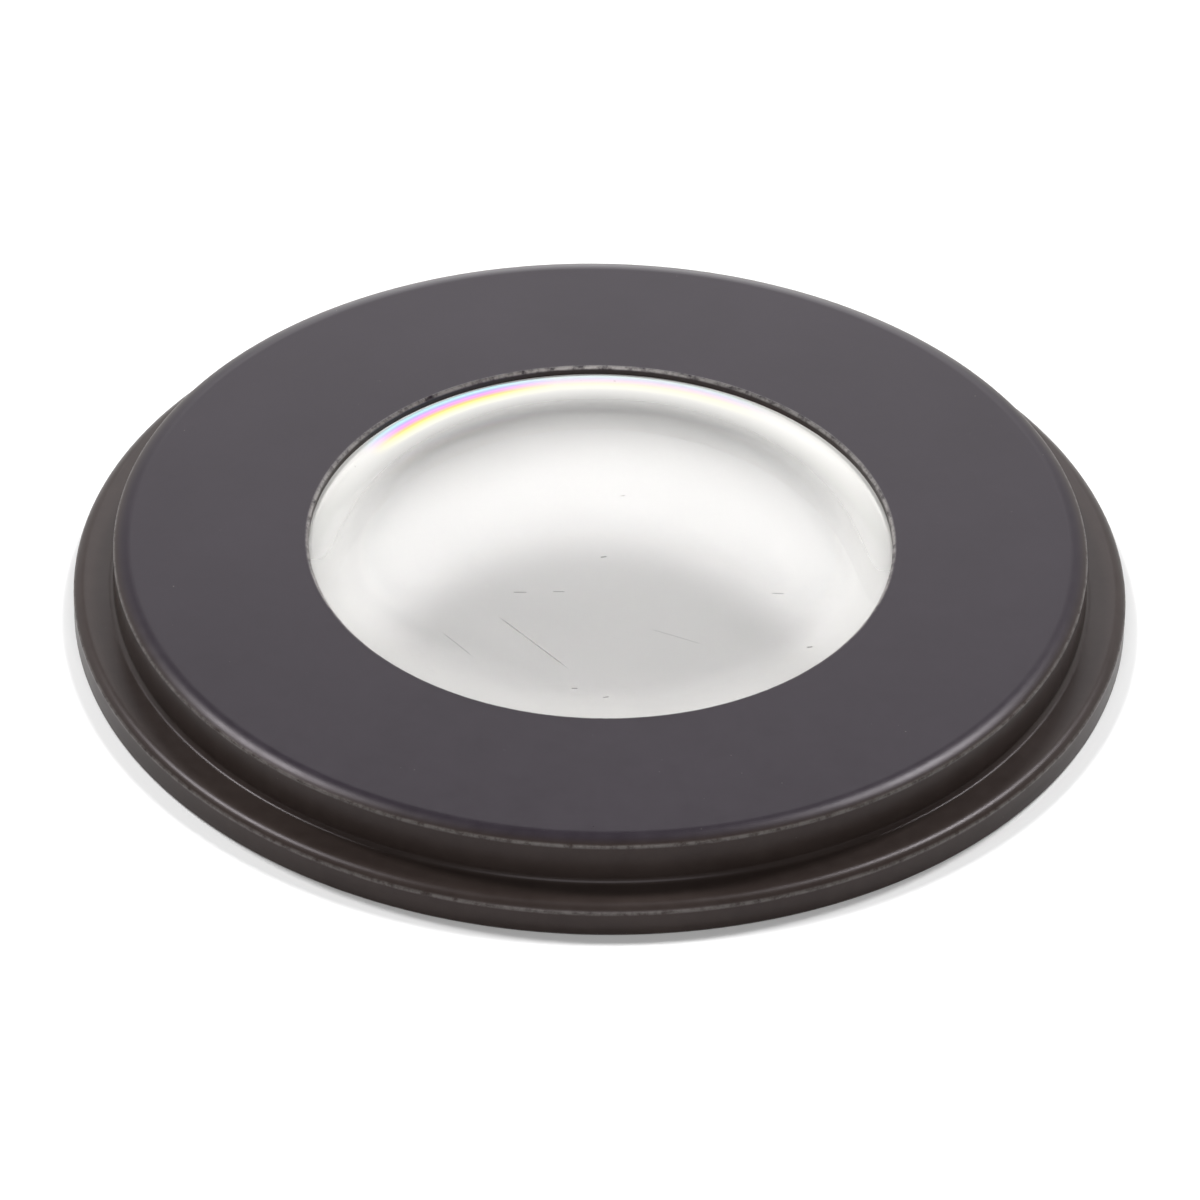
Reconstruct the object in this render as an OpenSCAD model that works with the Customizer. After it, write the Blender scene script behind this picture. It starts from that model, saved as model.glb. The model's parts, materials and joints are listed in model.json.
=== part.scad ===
// Flanged lens cell of a surveying instrument: a turned, black anodised cell that holds one
// negative meniscus lens between a thin front lip and a threaded ring behind it.
// +Z is the optical axis and points out of the front. The flange's back face lies on z = 0.

/* [Flange] */
// Outer diameter of the flange
flange_d = 65; // [63.6:0.1:80]
// Thickness of the flange, from the back face to the seating face
flange_t = 2; // [1.8:0.05:2.4]
// Radial width of the broken edge round the flange
flange_edge_run = 0.6; // [0.3:0.05:0.7]
// Height of the broken edge round the flange
flange_edge_drop = 0.45; // [0.2:0.05:0.5]
// Bevel round the flange's back edge
back_bevel = 0.15; // [0.05:0.05:0.4]

/* [Spigot] */
// Diameter of the spigot that stands in front of the flange
spigot_d = 60; // [50:0.1:60.8]
// Height of the front face above the back face
cell_h = 5; // [4.9:0.05:8]
// Radial width of the softened edge round the front face
crown_run = 0.8; // [0.4:0.05:1.2]
// Height of the softened edge round the front face
crown_drop = 0.45; // [0.2:0.05:0.8]
// Radius of the fillet at the spigot's foot
foot_fillet = 0.8; // [0.3:0.05:0.9]

/* [Aperture] */
// Diameter of the clear opening in the front lip
aperture_d = 36; // [24:0.5:44]
// Thickness of the front lip at the opening
lip_t = 0.65; // [0.4:0.05:0.9]
// Bevel round the mouth of the opening
lip_bevel = 0.12; // [0.05:0.01:0.25]

/* [Lens] */
// Radial width of the lens rim that lies behind the front lip
lens_seat = 1.2; // [1:0.05:1.8]
// Radius of the convex front surface
front_radius = 250; // [180:5:600]
// Radius of the concave rear surface
rear_radius = 92; // [85:1:300]
// Radial clearance between the rim of the lens and its pocket
lens_clearance = 0.05; // [0.02:0.01:0.15]
// Width of the flat land ground round the rear surface
rear_land = 0.7; // [0.4:0.05:1.0]
// Protective bevel on the edges of the lens
lens_bevel = 0.2; // [0.1:0.05:0.3]

/* [Retaining ring] */
// Radial step from the rim of the lens out to the thread
thread_step = 1.3; // [1.1:0.05:3]
// Axial travel of the ring for one turn
thread_pitch = 0.5; // [0.35:0.05:0.75]
// Axial thickness of the ring
ring_t = 1.1; // [0.8:0.05:1.3]
// Radial running clearance of the thread
thread_clearance = 0.05; // [0.02:0.01:0.09]
// Height of the straight land inside the ring
ring_land = 0.2; // [0.1:0.05:0.4]
// Radial width of the flat left on the ring's rear face
ring_rear_flat = 0.75; // [0.5:0.05:1.0]
// Width of each spanner slot
slot_w = 1.5; // [1:0.1:3]
// Depth of each spanner slot
slot_depth = 0.55; // [0.3:0.05:0.7]
// Thickness of the slip washer between ring and lens
washer_t = 0.15; // [0.1:0.05:0.3]
// Step from the aperture out to the opening of the ring and the washer
ring_step = 0.3; // [0.1:0.05:0.5]

/* [Hidden] */
$fn = 180;

// Radii
flange_r = flange_d / 2;
spigot_r = spigot_d / 2;
aperture_r = aperture_d / 2;
lens_r = aperture_r + lens_seat;
pocket_r = lens_r + lens_clearance;
thread_r = lens_r + thread_step;
ring_r = thread_r - thread_clearance;
ring_open_r = aperture_r + ring_step;

// Levels, from the back face forwards. One turn of the ring brings it flush with the back face.
ring_back_z = thread_pitch;
washer_z = ring_back_z + ring_t;
lens_back_z = washer_z + washer_t;
lip_z = cell_h - lip_t;

// The thread ends in a relief groove just past the rear edge of the lens.
relief_h = 0.3;
relief_depth = 0.2;
shoulder_z = lens_back_z + 0.35;
thread_mouth = 0.3;

// The convex front touches the lip's inner edge. The concave rear springs from its flat land.
front_centre_z = lip_z - sqrt(pow(front_radius, 2) - pow(aperture_r, 2));
hollow_r = lens_r - rear_land;
rear_centre_z = lens_back_z - sqrt(pow(rear_radius, 2) - pow(hollow_r, 2));

// Fine facets for the long, flat arcs of the lens
lens_fn = 720;
over = 1;

// Radius of an arc that leaves a flat face smoothly and falls by drop over run
function soft_radius(run, drop) = (run * run + drop * drop) / (2 * drop);

// Area outside a softened outer edge whose face ends at height z and whose wall stands at radius r
module soft_edge_waste(r, z, run, drop) {
    edge_r = soft_radius(run, drop);
    difference() {
        translate([r - run, z - drop])
            square([run + over, drop + over]);
        translate([r - run, z - edge_r])
            circle(r = edge_r);
    }
}

// Triangle of a 45 degree bevel at a corner, with legs along dx and dz
module bevel_waste(r, z, dx, dz) {
    polygon([[r, z], [r + dx, z], [r, z + dz]]);
}

// Outline of the turned blank, from the axis to the outside
module blank_profile() {
    difference() {
        union() {
            square([flange_r, flange_t]);
            square([spigot_r, cell_h]);
            foot_profile();
        }
        soft_edge_waste(flange_r, flange_t, flange_edge_run, flange_edge_drop);
        soft_edge_waste(spigot_r, cell_h, crown_run, crown_drop);
        bevel_waste(flange_r, 0, -back_bevel, back_bevel);
    }
}

// Web of the fillet between spigot and flange
module foot_profile() {
    difference() {
        translate([spigot_r - over, flange_t - over])
            square([over + foot_fillet, over + foot_fillet]);
        translate([spigot_r + foot_fillet, flange_t + foot_fillet])
            circle(r = foot_fillet);
    }
}

// Stepped hole through the cell: thread, relief groove, lens pocket and aperture
module hole_profile() {
    translate([0, -over])
        square([thread_r, over + shoulder_z]);
    translate([0, shoulder_z - relief_h])
        square([thread_r + relief_depth, relief_h]);
    square([pocket_r, lip_z]);
    square([aperture_r, cell_h + over]);
    bevel_waste(thread_r, 0, thread_mouth, thread_mouth);
    bevel_waste(aperture_r, cell_h, lip_bevel, -lip_bevel);
}

module cell_body() {
    color([0.12, 0.11, 0.12])
        rotate_extrude()
            difference() {
                blank_profile();
                hole_profile();
            }
}

// Half section of the lens before its edges are bevelled
module lens_section() {
    difference() {
        intersection() {
            translate([0, lens_back_z])
                square([lens_r, cell_h]);
            translate([0, front_centre_z])
                circle(r = front_radius, $fn = lens_fn);
        }
        translate([0, rear_centre_z])
            circle(r = rear_radius, $fn = lens_fn);
    }
}

module lens() {
    front_rim_z = front_centre_z + sqrt(pow(front_radius, 2) - pow(lens_r, 2));
    color([0.86, 0.93, 0.93, 0.35])
        rotate_extrude()
            difference() {
                lens_section();
                bevel_waste(lens_r, lens_back_z, -lens_bevel, lens_bevel);
                translate([0, front_rim_z])
                    polygon([
                        [lens_r - lens_bevel, over],
                        [lens_r - lens_bevel, 0],
                        [lens_r, -lens_bevel],
                        [lens_r + over, over]
                    ]);
            }
}

module slip_washer() {
    color([0.05, 0.05, 0.05])
        translate([0, 0, washer_z])
            difference() {
                cylinder(r = lens_r, h = washer_t);
                translate([0, 0, -over])
                    cylinder(r = ring_open_r, h = washer_t + 2 * over);
            }
}

// The opening flares towards the back, so that it stays out of the view through the lens.
module ring_profile() {
    flare_r = ring_r - ring_rear_flat;
    ring_edge = 0.15;
    difference() {
        polygon([
            [ring_open_r, ring_t],
            [ring_open_r, ring_t - ring_land],
            [flare_r, 0],
            [ring_r, 0],
            [ring_r, ring_t]
        ]);
        bevel_waste(ring_r, 0, -ring_edge, ring_edge);
        bevel_waste(ring_r, ring_t, -ring_edge, -ring_edge);
    }
}

module retaining_ring() {
    color([0.1, 0.1, 0.1])
        translate([0, 0, ring_back_z])
            difference() {
                rotate_extrude()
                    ring_profile();
                for (side = [-1, 1])
                    translate([side * thread_r - thread_r / 4, -slot_w / 2, -over])
                        cube([thread_r / 2, slot_w, over + slot_depth]);
            }
}

cell_body();
lens();
slip_washer();
retaining_ring();
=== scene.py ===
"""Looks of a surveying instrument's flanged lens cell.

A turned, black anodised cell holds a clear meniscus lens behind its front lip. Lengths in
the outlines are millimetres, and turned() brings them into the frame's metres.
"""

import json
import math

import bmesh
import bpy
from mathutils import Matrix, Vector


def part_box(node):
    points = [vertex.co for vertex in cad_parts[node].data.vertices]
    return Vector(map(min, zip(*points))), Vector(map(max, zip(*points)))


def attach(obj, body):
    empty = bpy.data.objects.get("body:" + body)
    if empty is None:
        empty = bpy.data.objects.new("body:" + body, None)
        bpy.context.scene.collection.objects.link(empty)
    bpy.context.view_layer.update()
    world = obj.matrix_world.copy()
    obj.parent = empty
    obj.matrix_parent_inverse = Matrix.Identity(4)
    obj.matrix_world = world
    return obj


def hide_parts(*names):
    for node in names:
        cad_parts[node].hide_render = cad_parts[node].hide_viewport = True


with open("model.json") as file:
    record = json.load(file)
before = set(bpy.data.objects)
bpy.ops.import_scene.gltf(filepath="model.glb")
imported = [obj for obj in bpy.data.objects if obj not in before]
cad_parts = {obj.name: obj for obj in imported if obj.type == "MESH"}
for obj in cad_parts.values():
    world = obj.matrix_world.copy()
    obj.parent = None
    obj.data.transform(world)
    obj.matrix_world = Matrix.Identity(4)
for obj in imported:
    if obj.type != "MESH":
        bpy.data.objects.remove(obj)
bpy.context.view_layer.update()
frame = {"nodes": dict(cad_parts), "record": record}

MM = 0.001
FULL_TURN = 2 * math.pi
AXIS = (0, 0, 1)


# ---------------------------------------------------------------- sizes from the frame

mounts = {mount["name"]: mount for mount in frame["record"]["mounts"]}
cell_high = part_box("cell_body")[1]
lens_low, lens_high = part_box("lens")
ring_low, ring_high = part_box("retaining_ring")

flange_r = cell_high.x / MM
cell_h = cell_high.z / MM
flange_t = mounts["flange_seat"]["pos_m"][2] / MM
spigot_r = mounts["spigot"]["dims"]["r_mm"]
lens_r = lens_high.x / MM
lens_back_z = lens_low.z / MM
ring_r = ring_high.x / MM
ring_back_z = ring_low.z / MM
ring_front_z = ring_high.z / MM


# ---------------------------------------------------------------- camera

CAMERA_ELEVATION = 37.17
CAMERA_ROLL = 0.0203
CAMERA_DISTANCE = 15
CAMERA_AIM = (0.00095, 0.0043, 0)
FOCAL_LENGTH = 235.85
SENSOR_WIDTH = 36


def place_camera():
    """Looks down on the cell from in front. Its distance and aim are shares of the flange."""
    elevation = math.radians(CAMERA_ELEVATION)
    distance = CAMERA_DISTANCE * flange_r * MM
    aim = Vector(CAMERA_AIM) * flange_r * MM
    back = Vector((0, -math.cos(elevation), math.sin(elevation)))
    level_right = Vector((1, 0, 0))
    level_up = back.cross(level_right)
    right = math.cos(CAMERA_ROLL) * level_right + math.sin(CAMERA_ROLL) * level_up
    up = back.cross(right)
    optics = bpy.data.cameras.new("camera")
    optics.sensor_width = SENSOR_WIDTH
    optics.lens = FOCAL_LENGTH
    optics.clip_start = 0.01
    optics.clip_end = 20
    camera = bpy.data.objects.new("camera", optics)
    turn = Matrix((right, up, back)).transposed().to_4x4()
    camera.matrix_world = Matrix.Translation(aim + back * distance) @ turn
    bpy.context.scene.collection.objects.link(camera)
    bpy.context.scene.camera = camera


place_camera()
bpy.context.scene.view_settings.view_transform = "Standard"


# ---------------------------------------------------------------- shader helpers

class Wire:
    """A socket in a finish. Sums and products of it add Math nodes."""

    def __init__(self, finish, socket):
        self.finish = finish
        self.socket = socket

    def math(self, operation, *values):
        """One Math node on these values."""
        sockets = dict(enumerate(values))
        return self.finish.node("ShaderNodeMath", {"operation": operation}, sockets)

    def __add__(self, other):
        return self.math("ADD", self, other)

    __radd__ = __add__

    def __sub__(self, other):
        return self.math("SUBTRACT", self, other)

    def __rsub__(self, other):
        return self.math("SUBTRACT", other, self)

    def __mul__(self, other):
        return self.math("MULTIPLY", self, other)

    __rmul__ = __mul__

    def __truediv__(self, other):
        return self.math("DIVIDE", self, other)

    def size(self):
        """The value without its sign."""
        return self.math("ABSOLUTE", self)

    def at_most(self, other):
        return self.math("MINIMUM", self, other)

    def at_least(self, other):
        return self.math("MAXIMUM", self, other)

    def root(self):
        return self.math("SQRT", self)

    def ramp(self, start, end):
        """0 up to start, 1 from end on, and a smooth rise between them."""
        return self.finish.node(
            "ShaderNodeMapRange",
            {"interpolation_type": "SMOOTHSTEP"},
            {"Value": self, "From Min": start, "From Max": end},
        )


class Finish:
    """One material and its nodes."""

    def __init__(self, name):
        self.material = bpy.data.materials.new(name)
        self.material.use_nodes = True
        self.tree = self.material.node_tree
        self.tree.nodes.clear()
        self.end = self.tree.nodes.new("ShaderNodeOutputMaterial")

    def node(self, kind, settings, sockets, outlet=0):
        """Adds a node with these settings and socket values, and gives one of its outlets."""
        made = self.tree.nodes.new(kind)
        for name, value in settings.items():
            if name == "stops":
                self.set_stops(made.color_ramp, value)
            else:
                setattr(made, name, value)
        for name, value in sockets.items():
            self.feed(made.inputs[name], value)
        return Wire(self, made.outputs[outlet])

    def feed(self, socket, value):
        """Links a wire to the socket, or sets the socket to a plain value."""
        if isinstance(value, Wire):
            self.tree.links.new(value.socket, socket)
        else:
            socket.default_value = value

    def set_stops(self, ramp, stops):
        """Stops are (position, colour) pairs. A new ramp already has two."""
        for position, colour in stops[1:-1]:
            ramp.elements.new(position)
        for element, (position, colour) in zip(ramp.elements, stops):
            element.position = position
            element.color = colour

    def place(self):
        """Object coordinates, in metres."""
        return self.node("ShaderNodeTexCoord", {}, {}, "Object")

    def place_mm(self):
        """Object coordinates, in millimetres."""
        settings = {"operation": "MULTIPLY"}
        return self.node("ShaderNodeVectorMath", settings, {0: self.place(), 1: (1 / MM,) * 3})

    def parts(self, vector):
        """The x, y and z of a vector."""
        x = self.node("ShaderNodeSeparateXYZ", {}, {0: vector}, "X")
        outlets = x.socket.node.outputs
        return x, Wire(self, outlets["Y"]), Wire(self, outlets["Z"])

    def noise(self, vector, scale, detail, roughness):
        """Cloudy noise round 0.5. A scale of 1 gives clouds about a millimetre across."""
        sockets = {"Vector": vector, "Scale": scale, "Detail": detail, "Roughness": roughness}
        return self.node("ShaderNodeTexNoise", {}, sockets)

    def mixed(self, share, first, second):
        """A colour between first and second."""
        sockets = {0: share, 6: first, 7: second}
        return self.node("ShaderNodeMix", {"data_type": "RGBA"}, sockets, 2)

    def bump(self, height, distance, strength):
        """A normal tilted by a height. Distance is the relief's depth, in metres."""
        sockets = {"Height": height, "Distance": distance, "Strength": strength}
        return self.node("ShaderNodeBump", {}, sockets)

    def blend(self, share, first, second):
        """A shader between first and second."""
        return self.node("ShaderNodeMixShader", {}, {0: share, 1: first, 2: second})

    def show(self, shader):
        """Makes this shader the finish's surface, and gives the material."""
        self.tree.links.new(shader.socket, self.end.inputs["Surface"])
        return self.material


# ---------------------------------------------------------------- turned pieces

SMOOTH_UP_TO = 40
TURN_STEPS = 360
MERGE_WITHIN = MM / 10000


def arc(centre_r, centre_z, radius, start, end, steps):
    """Points along an arc in the outline's plane. Angles are degrees from the outward radius."""
    points = []
    for step in range(steps + 1):
        angle = math.radians(start + (end - start) * step / steps)
        points.append((centre_r + radius * math.cos(angle), centre_z + radius * math.sin(angle)))
    return points


def finished(name, builder):
    """Makes an object of a bmesh, shaded smooth except over its sharp edges."""
    mesh = bpy.data.meshes.new(name)
    builder.to_mesh(mesh)
    builder.free()
    mesh.shade_smooth()
    mesh.set_sharp_from_angle(angle=math.radians(SMOOTH_UP_TO))
    piece = bpy.data.objects.new(name, mesh)
    bpy.context.scene.collection.objects.link(piece)
    return piece


def turned(name, points, closed=True):
    """Turns an outline of (radius, height) points about the optical axis."""
    builder = bmesh.new()
    verts = [builder.verts.new((r * MM, 0, z * MM)) for r, z in points]
    edges = [builder.edges.new(pair) for pair in zip(verts, verts[1:])]
    if closed:
        edges.append(builder.edges.new((verts[-1], verts[0])))
    bmesh.ops.spin(
        builder,
        geom=verts + edges,
        cent=(0, 0, 0),
        axis=AXIS,
        dvec=(0, 0, 0),
        angle=FULL_TURN,
        steps=TURN_STEPS,
        use_merge=True,
    )
    bmesh.ops.remove_doubles(builder, verts=builder.verts, dist=MERGE_WITHIN)
    bmesh.ops.recalc_face_normals(builder, faces=builder.faces)
    return finished(name, builder)


# ---------------------------------------------------------------- cell's outline

crown_run = 1.1
crown_drop = 0.3
flange_edge_run = 0.7
flange_edge_drop = 0.3
edge_round = 0.08
foot_fillet = 0.35
back_bevel = 0.15
aperture_r = 18
lip_t = 0.55
lip_bevel = 0.15
pocket_gap = 0.05
thread_gap = 0.05
thread_step = 0.35
thread_pitch = 0.5
thread_depth = 0.2
thread_mouth = 0.3
relief_h = 0.3

lip_z = cell_h - lip_t
pocket_r = lens_r + pocket_gap
thread_r = ring_r + thread_gap
thread_root_r = thread_r + thread_depth
shoulder_z = lens_back_z + thread_step
relief_z = shoulder_z - relief_h

# A narrow flat beside each round keeps the shading of the wide flats even.
flat = 0.05

ROUND_STEPS = 6
FILLET_STEPS = 10
CROWN_STEPS = 16
LENS_STEPS = 40


def soft_edge(r, z, run, drop):
    """Softened outer edge, from the flat face at height z down to the wall at radius r."""
    radius = (run * run + drop * drop) / (2 * drop)
    end = math.acos(run / radius)
    big_r = r - edge_round * (1 - math.cos(end))
    points = arc(big_r - run, z - radius, radius, 90, math.degrees(end), CROWN_STEPS)
    corner_r = big_r - edge_round * math.cos(end)
    corner_z = z - drop - edge_round * math.sin(end)
    points += arc(corner_r, corner_z, edge_round, math.degrees(end), 0, ROUND_STEPS)[1:]
    return points


def outside_points():
    """Outline of the cell's outside, from the back face up to the opening's bevel."""
    foot_r = spigot_r + foot_fillet
    points = [(thread_r + thread_mouth, 0), (flange_r - back_bevel - flat, 0)]
    points += arc(flange_r - back_bevel, back_bevel, back_bevel, -90, 0, ROUND_STEPS)
    points += [(flange_r, back_bevel + flat)]
    points += reversed(soft_edge(flange_r, flange_t, flange_edge_run, flange_edge_drop))
    points += [(flange_r - flange_edge_run - 2 * flat, flange_t)]
    points += [(foot_r + flat, flange_t)]
    points += arc(foot_r, flange_t + foot_fillet, foot_fillet, 270, 180, FILLET_STEPS)
    points += [(spigot_r, flange_t + foot_fillet + flat)]
    points += reversed(soft_edge(spigot_r, cell_h, crown_run, crown_drop))
    points += [(spigot_r - crown_run - 2 * flat, cell_h)]
    points += [(aperture_r + lip_bevel + flat, cell_h)]
    return points


def thread_points(low, high):
    """Turns of the cell's thread, as ridges round the bore, from the shoulder to the back."""
    count = int((high - low) / thread_pitch)
    points = []
    for turn in range(count):
        top = high - turn * thread_pitch
        points += [(thread_r, top), (thread_root_r, top - thread_pitch / 2)]
    points += [(thread_r, high - count * thread_pitch)]
    return points


def cell_points():
    """Whole outline of the cell."""
    points = outside_points()
    points += [(aperture_r + lip_bevel, cell_h), (aperture_r, cell_h - lip_bevel)]
    points += [(aperture_r, lip_z), (pocket_r, lip_z), (pocket_r, shoulder_z)]
    points += [(thread_root_r, shoulder_z), (thread_root_r, relief_z)]
    points += thread_points(thread_mouth, relief_z)
    points += [(thread_r, thread_mouth)]
    return points


# ---------------------------------------------------------------- lens's outline

front_radius = 300
rear_radius = 240
hollow_r = aperture_r
lens_bevel = 0.2


def lens_points():
    """Outline of the lens, from the middle of its front round the rim to the middle of its back."""
    front_centre = lip_z - math.sqrt(front_radius**2 - aperture_r**2)
    rear_centre = lens_back_z - math.sqrt(rear_radius**2 - hollow_r**2)
    front_reach = math.degrees(math.asin((lens_r - lens_bevel) / front_radius))
    rear_reach = math.degrees(math.asin(hollow_r / rear_radius))
    points = arc(0, front_centre, front_radius, 90, 90 - front_reach, LENS_STEPS)
    front_rim_z = points[-1][1]
    points += [(lens_r, front_rim_z - lens_bevel)]
    points += [(lens_r, lens_back_z + lens_bevel), (lens_r - lens_bevel, lens_back_z)]
    points += arc(0, rear_centre, rear_radius, 90 - rear_reach, 90, LENS_STEPS)
    return points


# ---------------------------------------------------------------- anodised metal

# The finish's own colour is a dark brown-black. The brown is set lighter than that as a painted
# reflection of the white table on the walls and flange, and the plum on the face is a painted
# reflection tint.
BROWN_DARK = (0.023, 0.0160, 0.0138, 1)
BROWN_LIGHT = (0.038, 0.028, 0.0245, 1)
PLUM_DARK = (0.0155, 0.0112, 0.0165, 1)
PLUM_LIGHT = (0.022, 0.0165, 0.0235, 1)
# Rubbed edges: real wear, and also painted highlight lines along those edges.
BARE_METAL_AND_GLINT = (0.42, 0.40, 0.385, 1)
DUST = (0.30, 0.28, 0.26, 1)
SHEEN_TINT = (1.0, 0.93, 0.99, 1)

RUB_FULL = 0.03
RUB_END = 0.2
SATIN_ROUGHNESS = 0.31
SATIN_SPECULAR = 0.205
TOOL_RINGS_PER_MM = 9.0
SATIN_RELIEF = 0.000004


def from_axis(x, y):
    """Distance from the optical axis."""
    return (x * x + y * y).root()


def near_edge(radius, height, edge_r, edge_z):
    """1 on the circle at this radius and height, falling to 0 a little way off it."""
    dr = radius - edge_r
    dz = height - edge_z
    return 1 - (dr * dr + dz * dz).root().ramp(RUB_FULL, RUB_END)


def anodised(name, worn):
    """Satin black anodised aluminium, with a painted plum reflection tint on its face and a painted
    lighter brown on its walls. The edges in worn are rubbed to bare metal, partly real wear and
    partly painted highlight: (radius, height, amount).
    """
    finish = Finish(name)
    place = finish.place_mm()
    x, y, z = finish.parts(place)
    radius = from_axis(x, y)

    cloud = finish.noise(place, 0.12, 4.0, 0.6)
    mottle = finish.noise(place, 0.9, 5.0, 0.65)
    level = (cloud - 0.5) * 1.4 + (mottle - 0.5) * 0.9 + 0.5
    brown = finish.mixed(level, BROWN_DARK, BROWN_LIGHT)
    # Painted reflection tones: plum on the face, brown on the walls and flange.
    painted_plum = finish.mixed(level, PLUM_DARK, PLUM_LIGHT)
    painted_face_tint = z.ramp(cell_h - crown_drop, cell_h - 0.02)
    colour = finish.mixed(painted_face_tint, brown, painted_plum)

    patchy = finish.noise(place, 1.7, 4.0, 0.7).ramp(0.28, 0.62)
    # Rubbed bare metal at the listed edges: real wear, and painted highlight lines.
    rub_and_glint = None
    for edge_r, edge_z, amount in worn:
        touched = near_edge(radius, z, edge_r, edge_z) * patchy * amount
        rub_and_glint = touched if rub_and_glint is None else rub_and_glint.at_least(touched)
    colour = finish.mixed(rub_and_glint, colour, BARE_METAL_AND_GLINT)
    dust = finish.noise(place, 3.1, 2.0, 0.4).ramp(0.795, 0.83) * 0.25
    colour = finish.mixed(dust, colour, DUST)

    grain = finish.noise(place, 14.0, 2.0, 0.5)
    tool_rings = finish.node(
        "ShaderNodeTexNoise",
        {"noise_dimensions": "1D"},
        {"W": radius * TOOL_RINGS_PER_MM, "Scale": 1.0, "Detail": 2.0},
    )
    shader = finish.node(
        "ShaderNodeBsdfPrincipled",
        {},
        {
            "Base Color": colour,
            "Roughness": SATIN_ROUGHNESS + (mottle - 0.5) * 0.14 + rub_and_glint * 0.08,
            "Metallic": rub_and_glint * 0.6,
            "IOR": 1.5,
            "Specular IOR Level": SATIN_SPECULAR,
            "Specular Tint": SHEEN_TINT,
            "Normal": finish.bump(tool_rings * 0.35 + grain * 0.65, SATIN_RELIEF, 0.5),
        },
    )
    return finish.show(shader)


# ---------------------------------------------------------------- glass and film

GLASS_TINT = (0.992, 0.988, 0.984, 1)
CROWN_GLASS_IOR = 1.52
# Painted highlight: a white glow round the lens's rim.
PAINTED_RIM_GLOW = (0.90, 0.89, 0.86, 1)
DIRT = (0.20, 0.19, 0.18, 1)
GROUND_DARK = (0.80, 0.80, 0.78, 1)
GROUND_LIGHT = (0.92, 0.92, 0.90, 1)
FILM_DARK = (0.024, 0.023, 0.022, 1)
FILM_LIGHT = (0.042, 0.040, 0.038, 1)

# Start, end, width and strength of each scratch on the lens.
SCRATCHES = (
    ((-6.2, -8.0), (-1.7, -13.1), 0.07, 0.5),
    ((-5.3, -5.7), (-4.4, -5.7), 0.06, 0.6),
    ((-2.9, -5.6), (-2.1, -5.6), 0.06, 0.5),
    ((10.5, -5.1), (11.3, -5.1), 0.06, 0.5),
    ((12.6, -10.2), (13.0, -10.1), 0.09, 0.7),
    ((0.0, -2.1), (0.4, -2.0), 0.08, 0.6),
    ((-1.6, -14.8), (-1.2, -14.8), 0.08, 0.6),
    ((0.3, -15.6), (0.7, -15.5), 0.08, 0.5),
    ((1.1, 4.3), (1.5, 4.4), 0.07, 0.5),
    ((-9.5, -9.6), (-7.6, -11.9), 0.05, 0.25),
    ((3.0, -9.0), (6.4, -10.4), 0.05, 0.2),
)

# Colours across the painted rainbow, from its inner edge out to the rim.
RAINBOW = (
    (0.0, (0.95, 0.95, 0.62, 1)),
    (0.22, (0.96, 0.90, 0.30, 1)),
    (0.42, (0.98, 0.52, 0.12, 1)),
    (0.58, (0.86, 0.25, 0.62, 1)),
    (0.74, (0.42, 0.36, 0.92, 1)),
    (0.88, (0.45, 0.86, 0.95, 1)),
    (1.0, (0.92, 0.95, 0.97, 1)),
)
RAINBOW_INNER_R = 16.2
RAINBOW_WIDTH = 1.75


def stroke(x, y, start, end, width):
    """1 along a fine scratch from start to end, given in millimetres."""
    dx = end[0] - start[0]
    dy = end[1] - start[1]
    length = math.hypot(dx, dy)
    along = ((x - start[0]) * dx + (y - start[1]) * dy) / length
    across = ((x - start[0]) * dy - (y - start[1]) * dx) / length
    middle = (along - length / 2).size()
    return (1 - across.size().ramp(0, width)) * (1 - middle.ramp(length / 3, length / 2))


def scratched(x, y):
    """The strongest of the lens's scratches at each place."""
    marks = None
    for start, end, width, strength in SCRATCHES:
        mark = stroke(x, y, start, end, width) * strength
        marks = mark if marks is None else marks.at_least(mark)
    return marks


def painted_fringe(finish, x, y, radius):
    """Strength and colour of a painted rainbow of split light along the far rim.

    It is strong on the far left, and fades along the far right. Bearings are degrees from +X.
    """
    colour = finish.node(
        "ShaderNodeValToRGB",
        {"stops": RAINBOW},
        {"Fac": (radius - RAINBOW_INNER_R) / RAINBOW_WIDTH},
    )
    bearing = y.math("ARCTAN2", y, x) * (360 / FULL_TURN)
    strong = bearing.ramp(92, 118) * (1 - bearing.ramp(136, 150))
    faint = bearing.ramp(50, 66) * (1 - bearing.ramp(92, 125)) * 0.22
    strength = (strong * 0.85).at_least(faint) * radius.ramp(15.9, 16.9)
    return strength, colour


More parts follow.
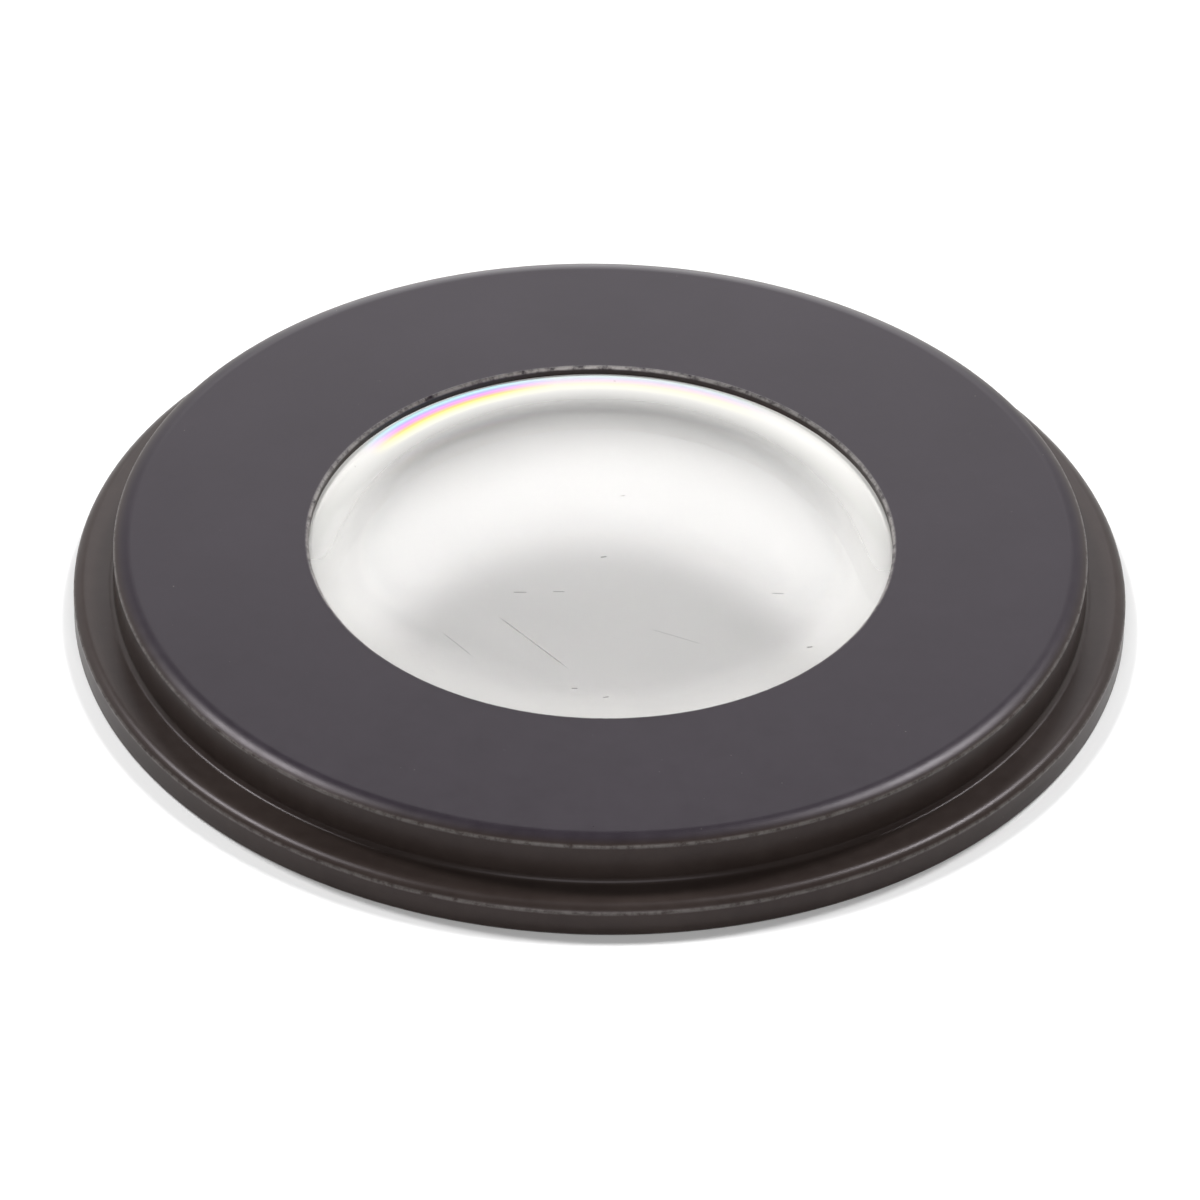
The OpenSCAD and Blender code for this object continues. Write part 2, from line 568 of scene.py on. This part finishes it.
def clear_glass():
    """Polished glass with a painted rainbow along its far rim, a painted white glow round its rim
    that is stronger on the far side, and scratches and specks.
    """
    finish = Finish("clear_glass")
    place = finish.place_mm()
    x, y, z = finish.parts(place)
    radius = from_axis(x, y)
    on_front = z.ramp(lens_back_z + 1.5, lens_back_z + 1.7)

    glass = finish.node(
        "ShaderNodeBsdfGlass",
        {},
        {"Color": GLASS_TINT, "Roughness": 0.0, "IOR": CROWN_GLASS_IOR},
    )
    # Painted highlight: a white diffuse veil near the rim, stronger towards the far side, stands in
    # for the bright reflection there.
    painted_rim_glow = finish.node("ShaderNodeBsdfDiffuse", {}, {"Color": PAINTED_RIM_GLOW})
    glow_far_side = 0.22 + y.ramp(-6, 13) * 0.5
    near_rim = radius.ramp(13.5, 17.4)
    shader = finish.blend(near_rim * glow_far_side * on_front, glass, painted_rim_glow)

    strength, colour = painted_fringe(finish, x, y, radius)
    # Painted rainbow: lit diffuse colour in the glass where the light splits at the rim.
    painted_rainbow = finish.node("ShaderNodeBsdfDiffuse", {}, {"Color": colour})
    shader = finish.blend(strength * on_front, shader, painted_rainbow)

    specks = finish.noise(place, 2.3, 1.0, 0.3).ramp(0.80, 0.84) * 0.3
    dirt = finish.node("ShaderNodeBsdfDiffuse", {}, {"Color": DIRT})
    shader = finish.blend(scratched(x, y).at_least(specks) * on_front, shader, dirt)
    return finish.show(shader)


def ground_glass():
    """The white, matt rim of the lens and the ground land behind it."""
    finish = Finish("ground_glass")
    grit = finish.noise(finish.place_mm(), 9.0, 4.0, 0.7)
    shader = finish.node(
        "ShaderNodeBsdfPrincipled",
        {},
        {
            "Base Color": finish.mixed(grit, GROUND_DARK, GROUND_LIGHT),
            "Roughness": 0.7,
            "Normal": finish.bump(grit, 0.00002, 0.6),
        },
    )
    return finish.show(shader)


def plastic_film():
    """Dark, matt film, slightly cloudy."""
    finish = Finish("washer_film")
    cloud = finish.noise(finish.place_mm(), 0.8, 4.0, 0.6)
    shader = finish.node(
        "ShaderNodeBsdfPrincipled",
        {},
        {
            "Base Color": finish.mixed(cloud, FILM_DARK, FILM_LIGHT),
            "Roughness": 0.5 + (cloud - 0.5) * 0.2,
            "Normal": finish.bump(cloud, 0.00001, 0.4),
        },
    )
    return finish.show(shader)


# ---------------------------------------------------------------- pieces

ring_wall = 0.75
ground_index = 1
rear_side_z = lip_z - 1

# Rubbed edges of the cell, each (radius, height, amount): real wear, and painted highlight lines
# along the crown's corner, the flange's edge and the opening's lip.
CELL_WEAR_AND_GLINT = (
    (spigot_r, cell_h - crown_drop - edge_round / 2, 0.22),
    (flange_r, flange_t - flange_edge_drop - edge_round / 2, 0.2),
    (aperture_r + lip_bevel / 2, cell_h - lip_bevel / 2, 0.7),
    (flange_r, 0, 0.3),
)
WORN_RING = (
    (ring_r, ring_back_z, 0.5),
    (ring_r, ring_front_z, 0.3),
    (ring_r - ring_wall, ring_back_z, 0.4),
)

cell = turned("lens_cell", cell_points())
cell.data.materials.append(anodised("black_anodised", CELL_WEAR_AND_GLINT))
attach(cell, "cell")
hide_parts("cell_body")

glass = turned("meniscus_lens", lens_points(), closed=False)
glass.data.materials.append(clear_glass())
glass.data.materials.append(ground_glass())
for face in glass.data.polygons:
    face_r = math.hypot(face.center.x, face.center.y) / MM
    on_rear = face.center.z / MM < rear_side_z
    if face_r > lens_r - lens_bevel or (on_rear and face_r > hollow_r):
        face.material_index = ground_index
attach(glass, "cell")
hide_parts("lens")

NODE_FINISHES = {
    "slip_washer": plastic_film(),
    "retaining_ring": anodised("ring_anodised", WORN_RING),
}
for node_name, node_finish in NODE_FINISHES.items():
    node_mesh = frame["nodes"][node_name].data
    node_mesh.materials.clear()
    node_mesh.materials.append(node_finish)


# ---------------------------------------------------------------- studio

TABLE_R = 3
TABLE_WHITE = (0.9, 0.9, 0.9, 1)
ROOM_LEVEL = 0.15

screen_r = 1.1
screen_h = 1.6
screen_half_width = math.radians(75)

# The bright part of the screen, as slopes up and aside from the cell.
SCREEN_TOP = 0.742
SCREEN_ARCH = 6.0
SCREEN_LIMIT = 0.92
SCREEN_SIDE = 0.21
SOFTNESS = 0.075
SCREEN_LEVEL = 3.4

# The glow round it, which fades out between two slopes.
GLOW_START = 0.6
GLOW_END = 0.9
GLOW_LEVEL = 1.2


def floor():
    """A wide white table under the cell."""
    finish = Finish("table")
    shader = finish.node("ShaderNodeBsdfDiffuse", {}, {"Color": TABLE_WHITE})
    builder = bmesh.new()
    bmesh.ops.create_circle(builder, cap_ends=True, radius=TABLE_R, segments=96)
    table = finished("table", builder)
    table.data.materials.append(finish.show(shader))


def screen_finish():
    """Light from the screen: bright in its middle under an arch, with a glow lower down."""
    finish = Finish("back_screen")
    across, along, up = finish.parts(finish.place())
    slope = up / from_axis(across, along)
    aside = (across / along).size()
    top = (SCREEN_TOP + aside * aside * SCREEN_ARCH).at_most(SCREEN_LIMIT)
    under_arch = 1 - (slope - top).ramp(-SOFTNESS, SOFTNESS)
    middle = 1 - aside.ramp(SCREEN_SIDE - SOFTNESS, SCREEN_SIDE + SOFTNESS)
    glow = (1 - slope.ramp(GLOW_START, GLOW_END)) * GLOW_LEVEL
    level = (middle * under_arch * SCREEN_LEVEL).at_least(glow)
    return finish.show(finish.node("ShaderNodeEmission", {}, {"Strength": level}))


def back_screen():
    """A curved screen that stands behind the table."""
    builder = bmesh.new()
    low = builder.verts.new((screen_r, 0, 0))
    high = builder.verts.new((screen_r, 0, screen_h))
    edge = builder.edges.new((low, high))
    start = Matrix.Rotation(math.pi / 2 - screen_half_width, 3, "Z")
    bmesh.ops.rotate(builder, verts=builder.verts, cent=(0, 0, 0), matrix=start)
    bmesh.ops.spin(
        builder,
        geom=[low, high, edge],
        cent=(0, 0, 0),
        axis=AXIS,
        dvec=(0, 0, 0),
        angle=2 * screen_half_width,
        steps=64,
    )
    screen = finished("back_screen", builder)
    screen.data.materials.append(screen_finish())


def soft_box(name, azimuth, elevation, width, power, distance=1.2):
    """A square lamp that points at the cell. Azimuth is degrees from +X towards +Y."""
    data = bpy.data.lights.new(name, "AREA")
    data.shape = "SQUARE"
    data.size = width
    data.energy = power
    lamp = bpy.data.objects.new(name, data)
    a = math.radians(azimuth)
    e = math.radians(elevation)
    aim = Vector((math.cos(a) * math.cos(e), math.sin(a) * math.cos(e), math.sin(e)))
    lamp.location = aim * distance
    lamp.rotation_mode = "QUATERNION"
    lamp.rotation_quaternion = aim.to_track_quat("Z", "Y")
    lamp.visible_camera = False
    bpy.context.scene.collection.objects.link(lamp)


def room():
    """Dim, even light from all sides."""
    world = bpy.data.worlds.new("room")
    world.use_nodes = True
    background = world.node_tree.nodes["Background"]
    background.inputs["Color"].default_value = (1, 1, 1, 1)
    background.inputs["Strength"].default_value = ROOM_LEVEL
    bpy.context.scene.world = world


floor()
back_screen()
soft_box("left_lamp", azimuth=140, elevation=56, width=0.24, power=8)
soft_box("right_lamp", azimuth=50, elevation=56, width=0.24, power=8)
soft_box("front_fill", azimuth=-90, elevation=42, width=1.3, power=17, distance=2.0)
room()
